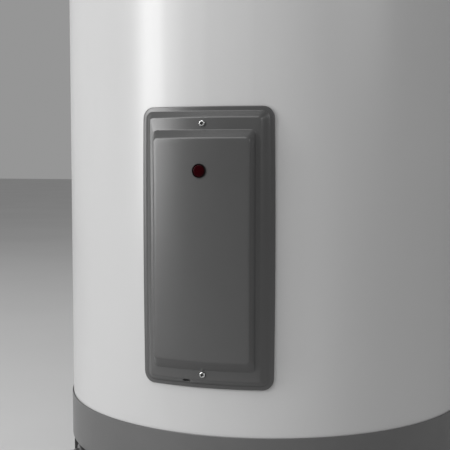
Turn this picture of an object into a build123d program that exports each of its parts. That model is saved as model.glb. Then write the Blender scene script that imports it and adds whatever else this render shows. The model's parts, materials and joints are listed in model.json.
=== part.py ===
from build123d import *
from math import cos, radians, sin, sqrt
import os

os.makedirs("parts", exist_ok=True)

# Electric tank water heater. Millimetres, +Z up, origin on the floor at the centre of the base.
# The front, where the two access panels are, faces -Y. Angles round the tank are counted from
# the front, positive towards +X. Radii are from the heater's vertical axis.

# ---- Driving dimensions -------------------------------------------------------------------
jacket_radius = 257.0
jacket_thickness = 0.7
jacket_bottom = 143.0
jacket_top = 1190.0

base_height = 150.0
base_wall = 4.6
base_floor = 4.0
base_radius = jacket_radius + 1.6
ring_bore = jacket_radius + 0.8

tank_radius = 208.0
tank_wall = 2.0
tank_bottom = 22.0
tank_top = 1128.0
head_wall = 2.5
head_skirt = 20.0
head_rise = 52.0
bottom_head_edge = 46.0

foam_radius = jacket_radius - jacket_thickness - 0.1
foam_bottom = 143.2
foam_top = 1203.0
foam_gap = 0.4

cap_top = 1210.0
cap_wall = 3.0
cap_radius = jacket_radius + 2.8
cap_bottom = 1176.0

nipple_x = 101.6
nipple_radius = 13.335
nipple_bore = 10.4
nipple_bottom = 1152.0
nipple_top = 1275.0
nipple_thread = 21.0
anode_y = 75.0

relief_height = 1080.0
drain_angle = -55.0
drain_height = 67.0
pocket_width = 135.0
pocket_bottom = 37.0
pocket_top = 95.0
pocket_wall = 2.5
pocket_back = 214.0

panel_heights = {"lower": base_height + 204.5, "upper": base_height + 754.5}
window_width = 105.0
window_height = 236.0
recess_width = 104.0
recess_height = 228.0
element_drop = 85.0
fit = 0.05
gap = 0.1

# Access panel, measured from its centre height. A tier goes from its base to its top face:
# half height at the base and top, half width at the base and top, and the two radii. The tiers and
# the screws sit a little below the rim's middle.
panel_gap = 0.4
lip_face = jacket_radius + 1.7
flange_face = jacket_radius + 10.0
pad_face = jacket_radius + 20.5
panel_half_width = 75.8
panel_half_height = 152.0
panel_bow = 1.2
panel_corner = 12.5
panel_wall = 2.2
flange_tier = (147.2, 140.5, 70.1, 62.0, lip_face, flange_face)
pad_tier = (128.8, 118.9, 57.3, 54.1, flange_face, pad_face)
tier_drop = 0.8
panel_screw_rises = (-134.5 - tier_drop, 134.5 - tier_drop)
lens_rise = 83.7
lens_radius = 7.0
bezel_radius = 7.9


def keep(piece, name):
    """Label a finished piece and write it as its own STEP file."""
    piece.label = name
    export_step(piece, f"parts/{name}.step")


def facing(angle, radius, height):
    """Plane square to the radius at this angle: x along the jacket, y up, z outward."""
    a = radians(angle)
    origin = (radius * sin(a), -radius * cos(a), height)
    return Plane(origin=origin, x_dir=(cos(a), sin(a), 0), z_dir=(sin(a), -cos(a), 0))


def crown(edge_height, radius, lift=0.0):
    """Height of a dished head's outer face at a radius, for a head whose rim is at edge_height."""
    ball = (tank_radius**2 + head_rise**2) / (2 * head_rise)
    return edge_height + head_rise - ball + sqrt((ball + lift) ** 2 - radius**2)


def rod(plane, radius, start, length, mode=Mode.ADD):
    """Cylinder of this radius along a plane's normal, from start on over length."""
    with BuildSketch(plane.offset(start)) as disc:
        Circle(radius)
    extrude(disc.sketch, amount=length, mode=mode)


def ring(radius, bore, bottom, height, mode=Mode.ADD):
    """Ring about the heater's axis."""
    with BuildSketch(Plane.XY.offset(bottom)) as washer:
        Circle(radius)
        Circle(bore, mode=Mode.SUBTRACT)
    extrude(washer.sketch, amount=height, mode=mode)


def block(x_range, y_range, z_range, mode=Mode.ADD):
    """Box between the given limits."""
    size = [high - low for low, high in (x_range, y_range, z_range)]
    middle = [(high + low) / 2 for low, high in (x_range, y_range, z_range)]
    with Locations(tuple(middle)):
        Box(*size, mode=mode)


# ---- Base ----------------------------------------------------------------------------------
pocket_middle = (pocket_top + pocket_bottom) / 2
pocket_height = pocket_top - pocket_bottom
drain_plane = facing(drain_angle, 0, drain_height)
pocket_plane = facing(drain_angle, 0, pocket_middle)


def base_outline(inner):
    """Half section of the base pan from its outer side, closed along the inner points."""
    with BuildLine() as outline:
        Polyline((0, 0), (base_radius - 5, 0), (base_radius, 5), (base_radius, base_height - 0.6),
                 (base_radius - 0.5, base_height), *inner, (0, 0))
    make_face(outline.edges())


with BuildPart() as base_pan:
    ledge = jacket_bottom - 0.2
    wall_inner = base_radius - base_wall
    with BuildSketch(pocket_plane.offset(pocket_back)):
        RectangleRounded(pocket_width + 2 * pocket_wall, pocket_height + 2 * pocket_wall, 14)
    extrude(amount=base_radius - pocket_back)
    with BuildSketch(Plane.XZ):
        base_outline([(ring_bore, base_height), (ring_bore, ledge), (wall_inner, ledge),
                      (wall_inner, base_floor), (0, base_floor)])
    revolve(axis=Axis.Z)
    with BuildSketch(Plane.XZ):
        base_outline([(0, base_height)])
    revolve(axis=Axis.Z, mode=Mode.INTERSECT)
    with BuildSketch(pocket_plane.offset(pocket_back + pocket_wall)):
        RectangleRounded(pocket_width, pocket_height, 12)
    extrude(amount=60, mode=Mode.SUBTRACT)
    rod(drain_plane, 17.4, pocket_back - 5, 20, Mode.SUBTRACT)
keep(base_pan.part, "base_pan")

with BuildPart() as base_foam_pad:
    pad_radius = wall_inner - 0.4
    with BuildSketch(Plane.XZ):
        Polygon((0, base_floor + 0.2), (pad_radius, base_floor + 0.2), (pad_radius, foam_bottom - 0.5),
                (tank_radius + foam_gap, foam_bottom - 0.5), (tank_radius + foam_gap, tank_bottom - 0.5),
                (0, tank_bottom - 0.5), align=None)
    revolve(axis=Axis.Z)
    with BuildSketch(pocket_plane.offset(tank_radius - 20)):
        RectangleRounded(pocket_width + 2 * pocket_wall + 1, pocket_height + 2 * pocket_wall + 1, 14)
    extrude(amount=100, mode=Mode.SUBTRACT)
keep(base_foam_pad.part, "base_foam_pad")

# ---- Tank ----------------------------------------------------------------------------------
element_heights = {name: z - element_drop for name, z in panel_heights.items()}
relief_plane = facing(90, 0, relief_height)
element_planes = {name: facing(0, 0, z) for name, z in element_heights.items()}
pipe_spud = (17.0, 13.5)
element_spud = (25.0, 16.8)
spud_inner_end = tank_radius - 5
pipe_spud_length = 15.0
element_spud_length = 13.0

with BuildPart() as tank_shell:
    ring(tank_radius, tank_radius - tank_wall, tank_bottom, tank_top - tank_bottom)
    for plane, (outside, _) in [(relief_plane, pipe_spud), (drain_plane, pipe_spud)] + [
        (plane, element_spud) for plane in element_planes.values()
    ]:
        rod(plane, outside + gap, tank_radius - 20, 40, Mode.SUBTRACT)
keep(tank_shell.part, "tank_shell")


def dished_head(edge_height, port_places):
    """Dished steel head with a straight skirt down inside the shell, pierced for its ports."""
    rim = tank_radius - tank_wall - gap
    inner_rim = rim - head_wall
    with BuildSketch(Plane.XZ) as section:
        with BuildLine():
            outer = ThreePointArc((0, crown(edge_height, 0)), (rim / 2, crown(edge_height, rim / 2)),
                                  (rim, crown(edge_height, rim)))
            skirt = Polyline(outer @ 1, (rim, edge_height - head_skirt),
                             (inner_rim, edge_height - head_skirt),
                             (inner_rim, crown(edge_height, inner_rim, -head_wall)))
            inner = ThreePointArc(skirt @ 1, (inner_rim / 2, crown(edge_height, inner_rim / 2, -head_wall)),
                                  (0, crown(edge_height, 0, -head_wall)))
            Line(inner @ 1, outer @ 0)
        make_face()
    revolve(section.sketch, axis=Axis.Z)
    for x, y in port_places:
        with Locations((x, y, edge_height)):
            Cylinder(pipe_spud[0] + gap, 150, mode=Mode.SUBTRACT)


top_ports = [(nipple_x, 0), (-nipple_x, 0), (0, anode_y)]
with BuildPart() as tank_top_head:
    dished_head(tank_top, top_ports)
keep(tank_top_head.part, "tank_top_head")

with BuildPart() as tank_bottom_head:
    dished_head(bottom_head_edge, [])
keep(tank_bottom_head.part, "tank_bottom_head")

top_spud_bottom = 1158.0
top_spud_height = 28.0
with BuildPart() as tank_spuds:
    for x, y in top_ports:
        with BuildSketch(Plane.XY.offset(top_spud_bottom)):
            with Locations((x, y)):
                Circle(pipe_spud[0])
                Circle(pipe_spud[1], mode=Mode.SUBTRACT)
        extrude(amount=top_spud_height)
    for plane in (relief_plane, drain_plane):
        with BuildSketch(plane.offset(spud_inner_end)):
            Circle(pipe_spud[0])
            Circle(pipe_spud[1], mode=Mode.SUBTRACT)
        extrude(amount=pipe_spud_length)
    for plane in element_planes.values():
        with BuildSketch(plane.offset(spud_inner_end)):
            Circle(element_spud[0])
            Circle(element_spud[1], mode=Mode.SUBTRACT)
        extrude(amount=element_spud_length)
keep(tank_spuds.part, "tank_spuds")

# ---- Insulation, jacket and top cap ---------------------------------------------------------
conduit_x = 42.0
conduit_y = -232.0
conduit_radius = 5.5
box_x = (-46.0, 50.0)
box_y = (-200.0, -140.0)
box_z = (1163.0, cap_top - cap_wall - 0.1)
conduit_entry = 1182.0
recess_top = {name: z + recess_height / 2 for name, z in panel_heights.items()}
recess_bottom = {name: z - recess_height / 2 for name, z in panel_heights.items()}


def conduit_routes():
    """Route out of the junction box down to the upper recess, and on from there to the lower one."""
    with BuildLine() as bend:
        FilletPolyline((conduit_x, box_y[0] + 1.5, conduit_entry), (conduit_x, conduit_y, conduit_entry),
                       (conduit_x, conduit_y, recess_top["upper"] - 2), radius=16)
    with BuildLine() as drop:
        Line((conduit_x, conduit_y, recess_bottom["upper"] + 2),
             (conduit_x, conduit_y, recess_top["lower"] - 2))
    return [bend.line, drop.line]


conduit_lines = conduit_routes()
conduit_starts = [Plane(origin=line @ 0, z_dir=line % 0) for line in conduit_lines]

with BuildPart() as insulation_foam:
    foam_bore = tank_radius + foam_gap
    with BuildSketch(Plane.XZ):
        with BuildLine():
            side = Polyline((0, crown(tank_top, 0, foam_gap)), (0, foam_top), (foam_radius - 13, foam_top),
                            (foam_radius, foam_top - 13), (foam_radius, foam_bottom),
                            (foam_bore, foam_bottom), (foam_bore, tank_top + foam_gap),
                            (tank_radius - 1, tank_top + foam_gap),
                            (tank_radius - 1, crown(tank_top, tank_radius - 1, foam_gap)))
            ThreePointArc(side @ 1, (tank_radius / 2, crown(tank_top, tank_radius / 2, foam_gap)), side @ 0)
        make_face()
    revolve(axis=Axis.Z)
    for height in panel_heights.values():
        block((-recess_width / 2, recess_width / 2), (-foam_radius - 5, -tank_radius + 20),
              (height - recess_height / 2, height + recess_height / 2), Mode.SUBTRACT)
        for rise in panel_screw_rises:
            rod(facing(0, foam_radius - 14, height + rise), 3.4, 0, 20, Mode.SUBTRACT)
    rod(relief_plane, pipe_spud[0] + foam_gap, tank_radius - 10, 25, Mode.SUBTRACT)
    rod(relief_plane, 14.5, tank_radius, 60, Mode.SUBTRACT)
    for x, y in top_ports:
        with Locations((x, y, foam_top)):
            Cylinder(pipe_spud[0] + 5, 90, mode=Mode.SUBTRACT)
    block((box_x[0] - foam_gap, box_x[1] + foam_gap), (box_y[0] - foam_gap, box_y[1] + foam_gap),
          (box_z[0] - foam_gap, foam_top + 10), Mode.SUBTRACT)
    for line, start in zip(conduit_lines, conduit_starts):
        with BuildSketch(start):
            Circle(conduit_radius + foam_gap)
        sweep(path=line, mode=Mode.SUBTRACT)
keep(insulation_foam.part, "insulation_foam")

with BuildPart() as jacket:
    seam_half = 6.0
    seam_bottom, seam_top = base_height + 2, cap_bottom - 2
    # The lapped seam down the back is one sheet thicker than the rest.
    ring(jacket_radius + 0.7, jacket_radius - jacket_thickness, seam_bottom, seam_top - seam_bottom)
    block((-seam_half, seam_half), (0, jacket_radius + 5), (seam_bottom, seam_top), Mode.INTERSECT)
    ring(jacket_radius, jacket_radius - jacket_thickness, jacket_bottom, jacket_top - jacket_bottom)
    for height in panel_heights.values():
        with BuildSketch(facing(0, 100, height)):
            RectangleRounded(window_width, window_height, 6)
        extrude(amount=200, mode=Mode.SUBTRACT)
        for rise in panel_screw_rises:
            rod(facing(0, 100, height + rise), 2.6, 0, 200, Mode.SUBTRACT)
    rod(relief_plane, 15.0, 100, 200, Mode.SUBTRACT)
keep(jacket.part, "jacket")

cap_opening_x = (-42.0, 12.0)
cap_opening_y = (-195.0, -145.0)
entry_place = (34.0, -170.0)
entry_radius = 11.1
collar_hole = 19.0
cover_screw_places = [(-50.5, -170.0), (17.0, -170.0)]

with BuildPart() as top_cap:
    with BuildSketch(Plane.XZ):
        with BuildLine():
            top_line = Line((0, cap_top), (cap_radius - 12, cap_top))
            shoulder = ThreePointArc(top_line @ 1, (cap_radius - 3.5, cap_top - 3.5),
                                     (cap_radius, cap_top - 12))
            skirt = Polyline(shoulder @ 1, (cap_radius, cap_bottom), (jacket_radius + 0.9, cap_bottom),
                             (jacket_radius + 0.9, cap_top - 13))
            inside = ThreePointArc(skirt @ 1, (cap_radius - 5.3, cap_top - 6),
                                   (cap_radius - 13, cap_top - cap_wall))
            Polyline(inside @ 1, (0, cap_top - cap_wall), top_line @ 0)
        make_face()
    revolve(axis=Axis.Z)
    # A low raised step runs round the flat top.
    with BuildSketch(Plane.XY.offset(cap_top)):
        Circle(cap_radius - 22)
        Circle(cap_radius - 30, mode=Mode.SUBTRACT)
    extrude(amount=1.6)
    block(cap_opening_x, cap_opening_y, (cap_top - 10, cap_top + 10), Mode.SUBTRACT)
    with Locations((*entry_place, cap_top)):
        Cylinder(entry_radius, 30, mode=Mode.SUBTRACT)
    for x in (-nipple_x, nipple_x):
        with Locations((x, 0, cap_top)):
            Cylinder(collar_hole, 30, mode=Mode.SUBTRACT)
    for place in cover_screw_places:
        with Locations((*place, cap_top)):
            Cylinder(2.6, 30, mode=Mode.SUBTRACT)
keep(top_cap.part, "top_cap")

# ---- Pipe connections, dip tube and anode ---------------------------------------------------
dip_radius = 8.8
dip_bottom = 165.0
for name, x in (("cold_inlet_nipple", nipple_x), ("hot_outlet_nipple", -nipple_x)):
    with BuildPart() as nipple:
        with BuildSketch(Plane.XY.offset(nipple_bottom)):
            with Locations((x, 0)):
                Circle(nipple_radius)
                Circle(nipple_bore, mode=Mode.SUBTRACT)
        extrude(amount=nipple_top - nipple_bottom)
        # A shallow run-out groove ends the pipe thread.
        with BuildSketch(Plane.XY.offset(nipple_top - nipple_thread - 1.5)):
            with Locations((x, 0)):
                Circle(nipple_radius + 1)
                Circle(nipple_radius - 0.6, mode=Mode.SUBTRACT)
        extrude(amount=1.5, mode=Mode.SUBTRACT)
    keep(nipple.part, name)

for name, x in (("cold_collar", nipple_x), ("hot_collar", -nipple_x)):
    with BuildPart() as collar:
        with BuildSketch(Plane.XY.offset(cap_top + 0.1)):
            with Locations((x, 0)):
                Circle(26)
        extrude(amount=4)
        fillet(collar.edges().group_by(Axis.Z)[-1], 1.5)
        with BuildSketch(Plane.XY.offset(cap_top + 0.1)):
            with Locations((x, 0)):
                Circle(collar_hole - 0.2)
        extrude(amount=-6)
        with Locations((x, 0, cap_top)):
            Cylinder(nipple_radius + 0.2, 40, mode=Mode.SUBTRACT)
    keep(collar.part, name)

with BuildPart() as dip_tube:
    flange_bottom = nipple_bottom + 20
    with Locations((nipple_x, 0, dip_bottom)):
        Cylinder(dip_radius, flange_bottom - dip_bottom, align=(Align.CENTER, Align.CENTER, Align.MIN))
    with Locations((nipple_x, 0, flange_bottom)):
        Cylinder(nipple_bore - 0.1, 3, align=(Align.CENTER, Align.CENTER, Align.MIN))
    with Locations((nipple_x, 0, dip_bottom - 5)):
        Cylinder(dip_radius - 1.4, flange_bottom + 20, align=(Align.CENTER, Align.CENTER, Align.MIN),
                 mode=Mode.SUBTRACT)
keep(dip_tube.part, "dip_tube")

anode_radius = 10.7
anode_bottom = 330.0
anode_thread_bottom = 1160.0
anode_seat = top_spud_bottom + top_spud_height + 0.1
with BuildPart() as anode_rod:
    with Locations((0, anode_y, anode_bottom)):
        Cylinder(anode_radius, anode_thread_bottom - anode_bottom,
                 align=(Align.CENTER, Align.CENTER, Align.MIN))
keep(anode_rod.part, "anode_rod")

with BuildPart() as anode_head:
    with BuildSketch(Plane.XY.offset(anode_thread_bottom)):
        with Locations((0, anode_y)):
            Circle(pipe_spud[1] - gap)
    extrude(amount=anode_seat - anode_thread_bottom)
    with BuildSketch(Plane.XY.offset(anode_seat)):
        with Locations((0, anode_y)):
            RegularPolygon(15.5, 6)
    extrude(amount=11)
keep(anode_head.part, "anode_head")

# ---- Temperature and pressure relief valve --------------------------------------------------
# It screws into the spud on the +X side. Distances along it are from the heater's axis.
seat_at = 289.0
chamber_end = 312.0
bonnet_end = 349.0
outlet_x = 294.0
outlet_length = 48.0
outlet_bore = 13.2
outlet_thread = 20.0
lever_pivot_x = 357.0
lever_pivot_drop = 9.0
lever_pin_radius = 1.6
stem_radius = 2.5
cross_pin_radius = 1.5
lever_lost_motion = 0.8
ear_inner = 7.4
ear_outer = 10.4
arm_inner = 3.2
arm_outer = 7.0
pivot_height = relief_height - lever_pivot_drop
outlet_plane = Plane(origin=(outlet_x, 0, relief_height), x_dir=(1, 0, 0), z_dir=(0, 0, -1))

with BuildPart() as relief_body:
    rod(relief_plane, pipe_spud[1] - gap, tank_radius - 6, 60)
    with BuildSketch(relief_plane.offset(260)):
        RegularPolygon(21.5, 6)
    extrude(amount=14)
    rod(relief_plane, 18.5, 274, chamber_end - 274)
    rod(outlet_plane, 17.5, 0, outlet_length)
    with BuildSketch(outlet_plane.offset(outlet_length - 20)):
        RegularPolygon(20.8, 8)
    extrude(amount=16)
    rod(relief_plane, 14.0, seat_at, 40, Mode.SUBTRACT)
    rod(relief_plane, 8.0, tank_radius - 20, 120, Mode.SUBTRACT)
    rod(outlet_plane, outlet_bore, outlet_length - outlet_thread, 40, Mode.SUBTRACT)
    rod(outlet_plane, 9.5, 10, 40, Mode.SUBTRACT)
keep(relief_body.part, "relief_body")

with BuildPart() as relief_bonnet:
    rod(relief_plane, 17.0, chamber_end + 0.1, bonnet_end - chamber_end - 0.1)
    fillet(relief_bonnet.edges().group_by(Axis.X)[-1], 3)
    for side in (-1, 1):
        with BuildSketch(Plane.XZ.offset(-side * (ear_inner + ear_outer) / 2)):
            with BuildLine():
                foot = Polyline((bonnet_end - 2, pivot_height + 5), (bonnet_end - 2, pivot_height - 5),
                                (lever_pivot_x, pivot_height - 5))
                nose = ThreePointArc(foot @ 1, (lever_pivot_x + 5, pivot_height),
                                     (lever_pivot_x, pivot_height + 5))
                Line(nose @ 1, foot @ 0)
            make_face()
            with Locations((lever_pivot_x, pivot_height)):
                Circle(lever_pin_radius + 0.02, mode=Mode.SUBTRACT)
        extrude(amount=(ear_outer - ear_inner) / 2, both=True)
    rod(relief_plane, 14.2, chamber_end - 5, bonnet_end - chamber_end, Mode.SUBTRACT)
    rod(relief_plane, stem_radius + fit, chamber_end, 60, Mode.SUBTRACT)
keep(relief_bonnet.part, "relief_bonnet")

cross_pin_x = lever_pivot_x + cross_pin_radius + lever_lost_motion
with BuildPart() as relief_stem:
    rod(relief_plane, 12.0, seat_at + 3, 3)
    rod(relief_plane, stem_radius, seat_at + 3, cross_pin_x + 3 - seat_at - 3)
    with BuildSketch(Plane.XZ):
        with Locations((cross_pin_x, relief_height)):
            Circle(cross_pin_radius)
    extrude(amount=arm_outer, both=True)
keep(relief_stem.part, "relief_stem")

with BuildPart() as relief_disc:
    rod(relief_plane, 10.0, seat_at + fit, 3 - fit)
keep(relief_disc.part, "relief_disc")

with BuildPart() as relief_probe:
    rod(relief_plane, 3.2, 125, seat_at + fit - 125)
keep(relief_probe.part, "relief_probe")

spring_start = seat_at + 7.6
spring_length = bonnet_end - 7 - spring_start
spring_radius = 8.0
spring_wire = 1.2
with BuildPart() as relief_spring:
    with BuildLine() as coil:
        Helix(pitch=spring_length / 7, height=spring_length, radius=spring_radius,
              center=(spring_start, 0, relief_height), direction=(1, 0, 0))
    with BuildSketch(Plane(origin=coil.line @ 0, z_dir=coil.line % 0)):
        Circle(spring_wire)
    sweep(path=coil.line, is_frenet=True)
keep(relief_spring.part, "relief_spring")

lever_top = relief_height + 56
with BuildPart() as relief_lever:
    with BuildSketch(Plane.XZ):
        Polygon((lever_pivot_x - 3, pivot_height), (lever_pivot_x, pivot_height),
                (lever_pivot_x, relief_height + 20), (lever_pivot_x + 9, lever_top - 8),
                (lever_pivot_x + 9, lever_top), (lever_pivot_x + 6, lever_top),
                (lever_pivot_x + 6, lever_top - 8), (lever_pivot_x - 3, relief_height + 20), align=None)
        with Locations((lever_pivot_x, pivot_height)):
            Circle(3.6)
    extrude(amount=arm_outer, both=True)
    block((lever_pivot_x - 10, lever_pivot_x + 10), (-arm_inner, arm_inner),
          (pivot_height - 10, relief_height + 9), Mode.SUBTRACT)
    with BuildSketch(Plane.XZ):
        with Locations((lever_pivot_x, pivot_height)):
            Circle(lever_pin_radius + fit)
    extrude(amount=20, both=True, mode=Mode.SUBTRACT)
keep(relief_lever.part, "relief_lever")

with BuildPart() as relief_lever_pin:
    with BuildSketch(Plane.XZ):
        with Locations((lever_pivot_x, pivot_height)):
            Circle(lever_pin_radius)
    extrude(amount=ear_outer + 1, both=True)
keep(relief_lever_pin.part, "relief_lever_pin")

# ---- Drain valve ----------------------------------------------------------------------------
# A nylon valve: its front sleeve, with the knob and the hose thread, turns on the fixed spigot.
spigot_radius = 9.5
spigot_end = 262.0
sleeve_bore_end = 266.5
hose_thread_radius = 13.2
hose_thread_start = 259.0
sleeve_end = 279.0
knob_radius = 21.0
knob_start = 241.0
seal_start = 236.0

with BuildPart() as drain_body:
    rod(drain_plane, pipe_spud[1] - gap, tank_radius - 6, 20)
    with BuildSketch(drain_plane.offset(tank_radius + 11)):
        RegularPolygon(18, 6)
    extrude(amount=9)
    rod(drain_plane, spigot_radius, tank_radius + 11, spigot_end - tank_radius - 11)
    rod(drain_plane, 5.5, tank_radius - 20, spigot_end - tank_radius + 14, Mode.SUBTRACT)
    with BuildSketch(facing(drain_angle, 0, drain_height).offset(spigot_end - 6)):
        Rectangle(3 * spigot_radius, 5)
    extrude(amount=-9, mode=Mode.SUBTRACT)
keep(drain_body.part, "drain_body")

with BuildPart() as drain_seal:
    with BuildSketch(drain_plane.offset(seal_start)):
        Circle(spigot_radius + 3.5)
        Circle(spigot_radius + fit, mode=Mode.SUBTRACT)
    extrude(amount=knob_start - seal_start - 0.3)
keep(drain_seal.part, "drain_seal")

with BuildPart() as drain_knob:
    with BuildSketch(drain_plane.offset(knob_start)):
        Circle(knob_radius)
        with PolarLocations(knob_radius + 1.4, 10):
            Circle(3.6, mode=Mode.SUBTRACT)
    extrude(amount=13)
    rod(drain_plane, hose_thread_radius + 1.6, knob_start, hose_thread_start - knob_start)
    rod(drain_plane, hose_thread_radius, hose_thread_start, sleeve_end - hose_thread_start)
    rod(drain_plane, spigot_radius + fit, knob_start - 5, sleeve_bore_end - knob_start + 5, Mode.SUBTRACT)
    rod(drain_plane, 8.0, knob_start, sleeve_end - knob_start + 5, Mode.SUBTRACT)
keep(drain_knob.part, "drain_knob")

# ---- Heating elements, thermostats and their compartments -----------------------------------
thread_radius = 16.5
gasket_thickness = 2.0
plug_face = spud_inner_end + element_spud_length + gasket_thickness + 0.1
plug_thickness = 9.0
terminal_face = plug_face + plug_thickness + 0.1
terminal_block_thickness = 5.0
hairpin_half = 9.0
hairpin_end = 30.0
sheath_radius = 4.0
terminal_x = 7.5

thermostat_back = tank_radius + 0.4
thermostat_front = 231.0
thermostat_half_width = 27.0
thermostat_half_height = 40.0
dial_drop = 12.0
dial_radius = 11.0
dial_shaft_radius = 4.0
limit_bottom = 44.0
limit_top = 86.0
reset_rise = 66.0
reset_radius = 4.0


def lead_wire(points, bend):
    """Round wire of 2.6 mm through the given points, with bends of one radius."""
    with BuildLine() as run:
        FilletPolyline(*points, radius=bend)
    with BuildSketch(Plane(origin=run.line @ 0, z_dir=run.line % 0)) as section:
        Circle(1.3)
    sweep(section.sketch, path=run.line)


for name, panel_z in panel_heights.items():
    element_plane = element_planes[name]
    with BuildPart() as element_plug:
        rod(element_plane, thread_radius, spud_inner_end, plug_face - spud_inner_end)
        with BuildSketch(element_plane.offset(plug_face)):
            RegularPolygon(22, 6)
        extrude(amount=plug_thickness)
        with Locations(element_plane.offset(spud_inner_end)):
            with Locations((-hairpin_half, 0), (hairpin_half, 0)):
                Cylinder(sheath_radius + gap, 12, mode=Mode.SUBTRACT)
    keep(element_plug.part, f"{name}_element_plug")

    with BuildPart() as element_loop:
        z = element_heights[name]
        with BuildLine() as hairpin:
            leg = Line((hairpin_half, -spud_inner_end - 5, z), (hairpin_half, hairpin_end, z))
            bend = ThreePointArc(leg @ 1, (0, hairpin_end + hairpin_half, z),
                                 (-hairpin_half, hairpin_end, z))
            Line(bend @ 1, (-hairpin_half, -spud_inner_end - 5, z))
        with BuildSketch(Plane(origin=hairpin.line @ 0, z_dir=hairpin.line % 0)):
            Circle(sheath_radius)
        sweep(path=hairpin.line)
    keep(element_loop.part, f"{name}_element_loop")

    with BuildPart() as element_gasket:
        with BuildSketch(element_plane.offset(spud_inner_end + element_spud_length + 0.05)):
            Circle(21)
            Circle(thread_radius + 0.2, mode=Mode.SUBTRACT)
        extrude(amount=gasket_thickness)
    keep(element_gasket.part, f"{name}_element_gasket")

    front = facing(0, 0, panel_z)
    with BuildPart() as thermostat_body:
        with BuildSketch(front.offset(thermostat_back)):
            RectangleRounded(2 * thermostat_half_width, 2 * thermostat_half_height, 4)
        extrude(amount=thermostat_front - thermostat_back)
        chamfer(thermostat_body.edges().group_by(Axis.Y)[0], 1.5)
        shaft_plane = facing(0, 0, panel_z - dial_drop)
        rod(shaft_plane, dial_shaft_radius + fit, thermostat_front - 8, 20, Mode.SUBTRACT)
    keep(thermostat_body.part, f"{name}_thermostat_body")

    with BuildPart() as thermostat_dial:
        dial_plane = facing(0, thermostat_front + 0.4, panel_z - dial_drop)
        with BuildSketch(dial_plane):
            Circle(dial_radius)
            with PolarLocations(dial_radius + 0.6, 24):
                Circle(1.0, mode=Mode.SUBTRACT)
        extrude(amount=3)
        rod(dial_plane, dial_shaft_radius, -7, 8)
        with BuildSketch(dial_plane.offset(3)):
            Rectangle(2.4, 14)
        extrude(amount=-1.6, mode=Mode.SUBTRACT)
    keep(thermostat_dial.part, f"{name}_thermostat_dial")

    with BuildPart() as thermostat_bracket:
        arm = thermostat_half_width + 0.3
        foot_z = panel_z - element_drop + element_spud[0] + 1
        for side in (-1, 1):
            block(sorted((side * arm, side * (arm + 1.2))), (-thermostat_front, -thermostat_back - 0.4),
                  (foot_z, panel_z + 28))
        block((-arm - 1.2, arm + 1.2), (-thermostat_back - 1.8, -thermostat_back - 0.4),
              (foot_z, panel_z - thermostat_half_height - 0.4))
    keep(thermostat_bracket.part, f"{name}_thermostat_bracket")

    with BuildPart() as insulation_block:
        block((-recess_width / 2 + 2.5, recess_width / 2 - 2.5), (-foam_radius, -tank_radius),
              (panel_z - recess_height / 2 + 2.5, panel_z + recess_height / 2 - 2.5))
        ring(foam_radius, 240, panel_z - recess_height, 2 * recess_height, Mode.INTERSECT)
    keep(insulation_block.part, f"{name}_insulation_block")

with BuildPart() as element_terminal_blocks:
    for plane in element_planes.values():
        rod(plane, 14.0, terminal_face, terminal_block_thickness)
keep(element_terminal_blocks.part, "element_terminal_blocks")

with BuildPart() as high_limit_switch:
    upper_z = panel_heights["upper"]
    with BuildSketch(facing(0, thermostat_back, upper_z + (limit_bottom + limit_top) / 2)):
        RectangleRounded(2 * thermostat_half_width, limit_top - limit_bottom, 4)
    extrude(amount=thermostat_front - thermostat_back)
    chamfer(high_limit_switch.edges().group_by(Axis.Y)[0], 1.5)
    rod(facing(0, 0, upper_z + reset_rise), reset_radius + fit, thermostat_front - 12, 20, Mode.SUBTRACT)
keep(high_limit_switch.part, "high_limit_switch")

with BuildPart() as reset_button:
    rod(facing(0, 0, upper_z + reset_rise), reset_radius, thermostat_front - 8, 8 + 3.2)
    fillet(reset_button.edges().group_by(Axis.Y)[0], 0.8)
keep(reset_button.part, "reset_button")

screw_radius = 3.2
screw_head = 1.8
limit_screws = [(x, z) for x in (-19, 19) for z in (52, 78)]
body_screws = [(x, z) for x in (-19, 19) for z in (-30, 30)]
with BuildPart() as terminal_screws:
    for name, panel_z in panel_heights.items():
        places = body_screws + (limit_screws if name == "upper" else [])
        with BuildSketch(facing(0, thermostat_front + gap, panel_z)):
            with Locations(*places):
                Circle(screw_radius)
                Rectangle(4.4, 0.8, mode=Mode.SUBTRACT)
        extrude(amount=screw_head)
        terminal_front = terminal_face + terminal_block_thickness
        with BuildSketch(facing(0, terminal_front + gap, element_heights[name])):
            with Locations((-terminal_x, 0), (terminal_x, 0)):
                Circle(screw_radius)
                Rectangle(4.4, 0.8, mode=Mode.SUBTRACT)
        extrude(amount=screw_head)
keep(terminal_screws.part, "terminal_screws")

wire_y = -thermostat_front - 3.4
with BuildPart() as lead_wires:
    for name, panel_z in panel_heights.items():
        low = element_heights[name]
        for side in (-1, 1):
            lead_wire([(side * 19, wire_y, panel_z - 34), (side * 21, wire_y, panel_z - 55),
                       (side * 16, wire_y - 0.8, low + 16), (side * 9.5, wire_y - 1.2, low + 5)], 6)
        lead_wire([(conduit_x, conduit_y, recess_top[name] - 3), (conduit_x, wire_y, panel_z + 96),
                   (30, wire_y, panel_z + 92), (23, wire_y, panel_z + 36)], 4)
keep(lead_wires.part, "lead_wires")

with BuildPart() as wire_conduits:
    for line, start in zip(conduit_lines, conduit_starts):
        with BuildSketch(start):
            Circle(conduit_radius)
            Circle(conduit_radius - 1, mode=Mode.SUBTRACT)
        sweep(path=line)
keep(wire_conduits.part, "wire_conduits")

# ---- Access panels --------------------------------------------------------------------------


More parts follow.
